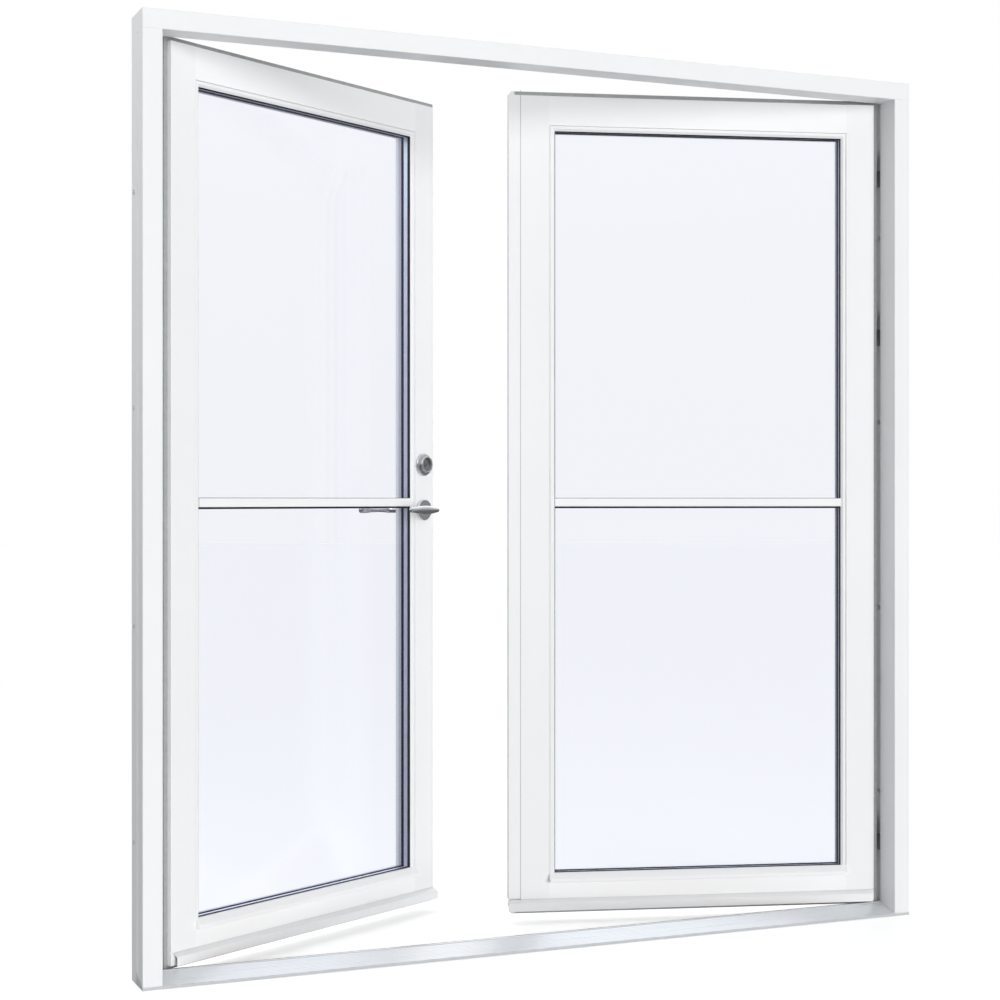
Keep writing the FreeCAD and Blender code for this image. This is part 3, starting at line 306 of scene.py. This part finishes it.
def sweep(outline, path, closed, corner):
    """An outline carried round a path of corners and mitred at each."""
    mesh = bmesh.new()
    rings = [[mesh.verts.new(corner(stop, point)) for point in outline] for stop in path]
    edges = [[mesh.edges.new((ring[i - 1], ring[i])) for i in range(len(ring))] for ring in rings]
    pairs = list(zip(edges, edges[1:])) + ([(edges[-1], edges[0])] if closed else [])
    for near, far in pairs:
        bmesh.ops.bridge_loops(mesh, edges=near + far)
    if not closed:
        mesh.faces.new(rings[0])
        mesh.faces.new(rings[-1])
    bmesh.ops.recalc_face_normals(mesh, faces=mesh.faces)
    return mesh


def new_piece(name, mesh, material, body, slot, *stands_for):
    data = bpy.data.meshes.new(name)
    mesh.to_mesh(data)
    mesh.free()
    piece = bpy.data.objects.new(name, data)
    bpy.context.scene.collection.objects.link(piece)
    data.materials.append(material)
    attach(piece, body)
    if stands_for:
        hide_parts(*stands_for)
    return piece


LEAF_BODY = {"active": "left_leaf", "passive": "right_leaf"}
for side in LEAVES:
    beads = side + "_glazing_beads"
    along, inwards = leaf_axes(side)
    start, end = span(side, beads, along)
    face, back = span(side, beads, inwards)
    foot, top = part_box(beads)[0][2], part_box(beads)[1][2]

    def bead_corner(stop, point):
        across, deep = point
        x = start + across if stop < 2 else end - across
        z = top - across if stop in (1, 2) else foot
        return along * x + inwards * (face + deep) + Vector((0.0, 0.0, z))

    mesh = sweep(BEAD_OUTLINE, range(4), False, bead_corner)
    new_piece(side + "_mitred_beads", mesh, leaf_upright, LEAF_BODY[side], "leaf_paint", beads)


# Cover joint: painted shade, a thin grey strip along the joint between the cover strip and its
# stile, standing in for the shadow line there. It starts above the threshold, which the closed leaf
# stands against.

# Painted shade: the strip's mid grey stands for the shadow line at the joint.
shade_line_grey, tree, shader = new_material("joint_painted_shade", Roughness=0.5)
tree.links.new(tinted(tree, noise(tree, 0.01), (0.40, 0.41, 0.42), (0.46, 0.47, 0.48)),
               shader.inputs["Base Color"])
SHADE_LINE_HALF, SHADE_LINE_DEEP, SHADE_LINE_PROUD = 0.0007, 0.0008, 0.00015
ABOVE_THRESHOLD = 0.002
along, inwards = leaf_axes("passive")
joint = span("passive", "passive_cover_strip", along)[1]
face = span("passive", "passive_cover_stile", inwards)[0]
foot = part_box("threshold_ramp")[1][2] + ABOVE_THRESHOLD
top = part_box("passive_cover_stile")[1][2]


def joint_corner(stop, point):
    across, deep = point
    return along * (joint + across) + inwards * (face + deep) + Vector((0.0, 0.0, (foot, top)[stop]))


outline = ((-SHADE_LINE_HALF, SHADE_LINE_DEEP), (-SHADE_LINE_HALF, -SHADE_LINE_PROUD),
           (SHADE_LINE_HALF, -SHADE_LINE_PROUD), (SHADE_LINE_HALF, SHADE_LINE_DEEP))
new_piece("cover_joint_painted_shade", sweep(outline, range(2), False, joint_corner), shade_line_grey,
          "right_leaf", "gasket")


# Drips: folded aluminium strips in white powder coat, with its fine orange-peel surface.

powder, tree, shader = new_material("drip_powder_coat", Roughness=0.3)
tree.links.new(tinted(tree, noise(tree, 0.2), (0.89, 0.90, 0.91), (0.91, 0.92, 0.93)),
               shader.inputs["Base Color"])
raised(tree, shader, noise(tree, 0.0015, detail=2.0), 0.00003)
paint(["active_drip_profile", "passive_drip_profile"], powder)


# Sealed glazing units: two panes of clear float glass, a satin aluminium spacer bar between them.
# The glass is faintly blue and mirrors more as it is seen more from the side.

MIRROR_SQUARE_ON = 0.02          # share mirrored looking straight through
MIRROR_EDGE_ON = 0.6             # and how much that grows towards the side
glass = bpy.data.materials.new("float_glass")
glass.use_nodes = True
tree = glass.node_tree
tree.nodes.remove(tree.nodes["Principled BSDF"])
clear = tree.nodes.new("ShaderNodeBsdfTransparent")
clear.inputs["Color"].default_value = (0.981, 0.986, 1.0, 1.0)
mirror = tree.nodes.new("ShaderNodeBsdfGlossy")
mirror.inputs["Color"].default_value = (1.0, 1.0, 1.0, 1.0)
mirror.inputs["Roughness"].default_value = 0.0
slant = tree.nodes.new("ShaderNodeLayerWeight")
slant.inputs["Blend"].default_value = 0.5
steep = tree.nodes.new("ShaderNodeMath")
steep.operation = "POWER"
steep.inputs[1].default_value = 5.0
share = tree.nodes.new("ShaderNodeMath")
share.operation = "MULTIPLY_ADD"
share.inputs[1].default_value = MIRROR_EDGE_ON
share.inputs[2].default_value = MIRROR_SQUARE_ON
pane = tree.nodes.new("ShaderNodeMixShader")
tree.links.new(slant.outputs["Facing"], steep.inputs[0])
tree.links.new(steep.outputs["Value"], share.inputs[0])
tree.links.new(share.outputs["Value"], pane.inputs["Fac"])
tree.links.new(clear.outputs["BSDF"], pane.inputs[1])
tree.links.new(mirror.outputs["BSDF"], pane.inputs[2])
tree.links.new(pane.outputs["Shader"], tree.nodes["Material Output"].inputs["Surface"])
paint([side + "_glass_" + face for side in ("active", "passive") for face in ("outer", "inner")],
      glass)

spacer, tree, shader = new_material("spacer_aluminium", Metallic=0.4, Roughness=0.35)
tree.links.new(tinted(tree, noise(tree, 0.003, (8.0, 8.0, 8.0)), (0.70, 0.75, 0.93),
                      (0.78, 0.83, 1.0)), shader.inputs["Base Color"])
paint(["active_glass_spacer", "passive_glass_spacer"], spacer)


# Rubber: extruded black gaskets that hold the glass, with a lip running on over each pane, and
# grey seals pressed into a groove round the leaves.

def rubber(name, low, high, roughness):
    material, tree, shader = new_material(name, Roughness=roughness)
    tree.links.new(tinted(tree, noise(tree, 0.01), low, high), shader.inputs["Base Color"])
    raised(tree, shader, noise(tree, 0.0006, detail=3.0), 0.00004)
    return material


gasket_rubber = rubber("gasket_rubber", (0.012, 0.012, 0.018), (0.022, 0.022, 0.03), 0.55)
paint(["active_glazing_gaskets", "passive_glazing_gaskets"], gasket_rubber)

GASKET_LIP = 0.0017              # how far each lip runs on over the glass
LIP_ROOT, LIP_SHOULDER = 0.003, 0.0012   # how far off the glass it starts, and bends
LIP_INSET = 0.0141               # from the beads' outer edge to the lip
for side in LEAVES:
    along, inwards = leaf_axes(side)
    gasket = side + "_glazing_gaskets"
    start, end = span(side, gasket, along)
    foot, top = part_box(gasket)[0][2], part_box(gasket)[1][2]
    edge = span(side, side + "_glazing_beads", along)[0] + LIP_INSET - start
    outer = span(side, side + "_glass_outer", inwards)[0]
    inner = span(side, side + "_glass_inner", inwards)[1]
    for face, glass_face, away in (("outer", outer, -1.0), ("inner", inner, 1.0)):

        def lip_corner(stop, point):
            across, deep = point
            x = start + edge + across if stop in (0, 1) else end - edge - across
            z = top - edge - across if stop in (1, 2) else foot + edge + across
            return along * x + inwards * (glass_face + away * deep) + Vector((0.0, 0.0, z))

        outline = ((0.0, 0.0), (0.0, LIP_ROOT), (GASKET_LIP * 0.7, LIP_SHOULDER),
                   (GASKET_LIP, 0.0))
        new_piece(side + "_gasket_lip_" + face, sweep(outline, range(4), True, lip_corner),
                  gasket_rubber, LEAF_BODY[side], "gasket")
paint(["active_leaf_seal", "passive_leaf_seal"],
      rubber("seal_rubber", (0.35, 0.36, 0.365), (0.41, 0.42, 0.425), 0.6))


# Painted shade: a thin grey-blue strip along the inside of the lip that the unit stands against,
# mitred at its corners. It stands in for the shade on that white lip, seen through the glass.

# Painted shade: the strip's grey-blue stands in for the shaded white lip.
shade_strip_paint, tree, shader = new_material("shade_strip_paint", Roughness=0.5)
tree.links.new(tinted(tree, noise(tree, 0.02), (0.54, 0.56, 0.67), (0.59, 0.61, 0.72)),
               shader.inputs["Base Color"])
raised(tree, shader, noise(tree, 0.0008, detail=2.0), 0.00002)
SHADE_STRIP_WIDE, SHADE_STRIP_THICK, SHADE_STRIP_START = 0.0088, 0.0003, 0.0002
SHADE_STRIP_INSET = 0.0135              # from the beads' outer edge to the strip
for side in LEAVES:
    along, inwards = leaf_axes(side)
    gasket = side + "_glazing_gaskets"
    start, end = span(side, gasket, along)
    foot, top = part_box(gasket)[0][2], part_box(gasket)[1][2]
    edge = span(side, side + "_glazing_beads", along)[0] + SHADE_STRIP_INSET - start
    lip = span(side, gasket, inwards)[1]

    def shade_strip_corner(stop, point):
        across, deep = point
        x = start + edge + across if stop in (0, 1) else end - edge - across
        z = top - edge - across if stop in (1, 2) else foot + edge + across
        return along * x + inwards * (lip + deep) + Vector((0.0, 0.0, z))

    outline = ((0.0, SHADE_STRIP_START), (0.0, SHADE_STRIP_WIDE), (SHADE_STRIP_THICK, SHADE_STRIP_WIDE),
               (SHADE_STRIP_THICK, SHADE_STRIP_START))
    new_piece(side + "_painted_shade_strip", sweep(outline, range(4), True, shade_strip_corner), shade_strip_paint,
              LEAF_BODY[side], "gasket")


# Hinges, lock and handles: dull zinc-plated hinges, brushed steel lock parts and bolts, polished
# chrome on what a hand touches, satin chrome on the outer cylinder ring, dull nickel inside it.

def metal(name, low, high, roughness, polish=0.05):
    material, tree, shader = new_material(name, Metallic=1.0)
    brushed = noise(tree, 0.0012, (1.0, 1.0, 1.0), 3.0)
    tree.links.new(tinted(tree, brushed, low, high), shader.inputs["Base Color"])
    tree.links.new(ranged(tree, brushed, roughness - polish, roughness + polish),
                   shader.inputs["Roughness"])
    return material


zinc = metal("hinge_zinc", (0.46, 0.47, 0.48), (0.54, 0.55, 0.56), 0.5)
paint(["frame_hinge_halves_left", "frame_hinge_halves_right", "active_hinge_halves",
       "passive_hinge_halves"], zinc)
steel = metal("lock_steel", (0.52, 0.53, 0.54), (0.60, 0.61, 0.62), 0.32)
paint(["active_lock_case", "active_lock_face_plate", "active_lock_screws", "latch_bolt",
       "dead_bolt", "passive_strike_plate", "flush_bolt_top", "flush_bolt_bottom",
       "frame_keep_top", "frame_keep_bottom", "active_spindle"], steel)
chrome = metal("handle_chrome", (0.66, 0.67, 0.69), (0.72, 0.73, 0.75), 0.16)
paint(["active_lever_outside", "active_lever_inside", "active_rose_outside", "active_rose_inside",
       "active_cylinder_ring_outside", "active_cylinder_ring_inside", "active_thumb_turn"], chrome)
satin = metal("ring_satin_chrome", (0.62, 0.63, 0.65), (0.68, 0.69, 0.71), 0.34)
nickel = metal("cylinder_nickel", (0.36, 0.36, 0.35), (0.44, 0.44, 0.43), 0.45)
paint(["active_lock_cylinder", "active_key_plug"], nickel)


# Handles: cast zinc levers, chromed, each with a round rose behind it, and turned rings round
# both ends of the lock cylinder.

UP = Vector((0.0, 0.0, 1.0))
along, inwards = leaf_axes("active")


def mounted(node, outside):
    """Where a turned fitting's axis meets the leaf, and the direction out of the leaf there."""
    across = sum(span("active", node, along)) / 2
    low, high = span("active", node, inwards)
    z = (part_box(node)[0][2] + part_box(node)[1][2]) / 2
    return (along * across + inwards * (high if outside else low) + UP * z,
            -inwards if outside else inwards)


def turned(outline, seat, out):
    """A closed outline, out from the axis and off the leaf, spun right round."""
    mesh = bmesh.new()
    ring = [mesh.verts.new(seat + UP * radius + out * off) for radius, off in outline]
    edges = [mesh.edges.new((ring[i - 1], ring[i])) for i in range(len(ring))]
    bmesh.ops.spin(mesh, geom=ring + edges, cent=seat, axis=out, angle=math.tau, steps=72,
                   use_merge=True)
    bmesh.ops.remove_doubles(mesh, verts=mesh.verts, dist=1e-6)
    bmesh.ops.recalc_face_normals(mesh, faces=mesh.faces)
    return mesh


def rounded(piece, crease=32.0):
    piece.data.shade_smooth()
    piece.data.set_sharp_from_angle(angle=math.radians(crease))


ROSE = ((0.0093, 0.0), (0.0260, 0.0), (0.0260, 0.0078), (0.0256, 0.0088), (0.0248, 0.0094),
        (0.0115, 0.0094), (0.0111, 0.0090), (0.0106, 0.0090), (0.0102, 0.0094), (0.0093, 0.0094))
CYLINDER_RING = ((0.0160, 0.0), (0.0275, 0.0), (0.0275, 0.0070), (0.0270, 0.0081), (0.0260, 0.0087),
                 (0.0200, 0.0089), (0.0193, 0.0096), (0.0192, 0.0106), (0.0196, 0.0113),
                 (0.0203, 0.0118), (0.0207, 0.0126), (0.0207, 0.0158), (0.0203, 0.0166),
                 (0.0195, 0.0170), (0.0173, 0.0170), (0.0165, 0.0166), (0.0160, 0.0155))
INNER_RING = ((0.0160, 0.0), (0.0260, 0.0), (0.0260, 0.0078), (0.0256, 0.0088), (0.0248, 0.0094),
              (0.0172, 0.0094), (0.0164, 0.0090), (0.0160, 0.0082))
for name, outline, finish, outside in (
        ("rose_outside", ROSE, chrome, True),
        ("rose_inside", ROSE, chrome, False),
        ("cylinder_ring_outside", CYLINDER_RING, satin, True),
        ("cylinder_ring_inside", INNER_RING, chrome, False)):
    node = "active_" + name
    seat, out = mounted(node, outside)
    rounded(new_piece(name, turned(outline, seat, out), finish, "left_leaf", "chrome", node))

# Each lever: how far its middle line has come along and off the leaf, its height and thickness.
OUTSIDE_LEVER = ((0.0, 9.6, 17.6, 17.6), (0.0, 12.0, 17.6, 17.6), (0.0, 12.8, 14.6, 14.6),
                 (0.0, 28.0, 14.2, 14.2), (-0.3, 41.0, 13.0, 13.0), (-2.0, 49.0, 12.0, 11.6),
                 (-6.5, 54.0, 11.4, 10.2), (-15.0, 56.0, 13.2, 9.4), (-33.0, 56.2, 19.0, 9.0),
                 (-58.0, 56.0, 22.6, 9.0), (-84.0, 56.0, 18.2, 9.0), (-104.0, 56.0, 13.4, 8.8),
                 (-114.5, 56.0, 11.8, 8.0), (-117.6, 56.0, 10.0, 6.6))
INSIDE_LEVER = ((0.0, 9.6, 17.6, 17.6), (0.0, 12.0, 17.6, 17.6), (0.0, 12.8, 15.0, 15.0),
                (0.0, 30.0, 15.0, 15.0), (-1.0, 45.0, 15.4, 14.0), (-4.5, 52.5, 15.6, 11.6),
                (-12.0, 56.0, 14.2, 9.6), (-26.0, 56.4, 11.8, 9.0), (-49.0, 56.0, 10.6, 9.0),
                (-74.0, 56.0, 12.6, 9.0), (-100.0, 56.0, 17.2, 8.8), (-112.0, 56.0, 16.0, 7.4),
                (-117.0, 56.0, 11.0, 4.6))
MM = 0.001


def lever(stations, seat, out):
    """Oval sections along the middle line, joined into one smooth casting."""
    line = [seat + along * (x * MM) + out * (off * MM) for x, off, _, _ in stations]
    mesh = bmesh.new()
    rings = []
    for i, (_, _, tall, thick) in enumerate(stations):
        onward = (line[min(i + 1, len(line) - 1)] - line[max(i - 1, 0)]).normalized()
        across = UP.cross(onward)
        turn = Matrix((across, UP, onward)).transposed().to_4x4()
        sized = Matrix.Diagonal((thick * MM / 2, tall * MM / 2, 1.0, 1.0))
        made = bmesh.ops.create_circle(mesh, cap_ends=i in (0, len(stations) - 1), segments=28,
                                       radius=1.0,
                                       matrix=Matrix.Translation(line[i]) @ turn @ sized)
        rings.append(list({edge for vert in made["verts"] for edge in vert.link_edges}))
    for near, far in zip(rings, rings[1:]):
        bmesh.ops.bridge_loops(mesh, edges=near + far)
    bmesh.ops.recalc_face_normals(mesh, faces=mesh.faces)
    return mesh


for name, stations, node, rose, outside in (
        ("lever_outside", OUTSIDE_LEVER, "active_lever_outside", "active_rose_outside", True),
        ("lever_inside", INSIDE_LEVER, "active_lever_inside", "active_rose_inside", False)):
    seat, out = mounted(rose, outside)
    piece = new_piece(name, lever(stations, seat, out), chrome, "lever_set", "chrome", node)
    rounded(piece, 60.0)
    smooth = piece.modifiers.new("cast", "SUBSURF")
    smooth.levels = smooth.render_levels = 1


# Thumb turn: a chromed wing on a short stub, its edges well rounded by tumbling.
# It turns the bolt from the room side and clears the inner ring's face.

TURN_TALL, TURN_THICK, TURN_ROUND = 0.030, 0.009, 0.0036
STUB_RADIUS, STUB_CENTRE, STUB_INTO_WING = 0.0068, 0.0002, 0.004
RING_FACE, TURN_CLEAR = max(off for _, off in INNER_RING), 0.0004
seat, out = mounted("active_thumb_turn", False)
low, high = span("active", "active_thumb_turn", inwards)
root = mounted("active_cylinder_ring_inside", False)[0]
wing_start = (root.dot(inwards) + RING_FACE + TURN_CLEAR) - low
wing_deep = (high - low) - wing_start
wing = bmesh.new()
wing_middle = seat + out * (wing_start + wing_deep / 2)
bmesh.ops.create_cube(wing, size=1.0, matrix=Matrix.Translation(wing_middle)
                      @ Matrix((along, UP, out)).transposed().to_4x4()
                      @ Matrix.Diagonal((TURN_THICK, TURN_TALL, wing_deep, 1.0)))
bmesh.ops.bevel(wing, geom=wing.edges[:], offset=TURN_ROUND, segments=4, profile=0.5,
                affect="EDGES", material=-1)
stub_end = wing_start + STUB_INTO_WING
stub = turned(((STUB_CENTRE, 0.0), (STUB_RADIUS, 0.0), (STUB_RADIUS, stub_end),
               (STUB_CENTRE, stub_end)), seat, out)
stub_data = bpy.data.meshes.new("stub")
stub.to_mesh(stub_data)
stub.free()
wing.from_mesh(stub_data)
rounded(new_piece("thumb_turn", wing, chrome, "cylinder_turn", "chrome", "active_thumb_turn"), 40.0)
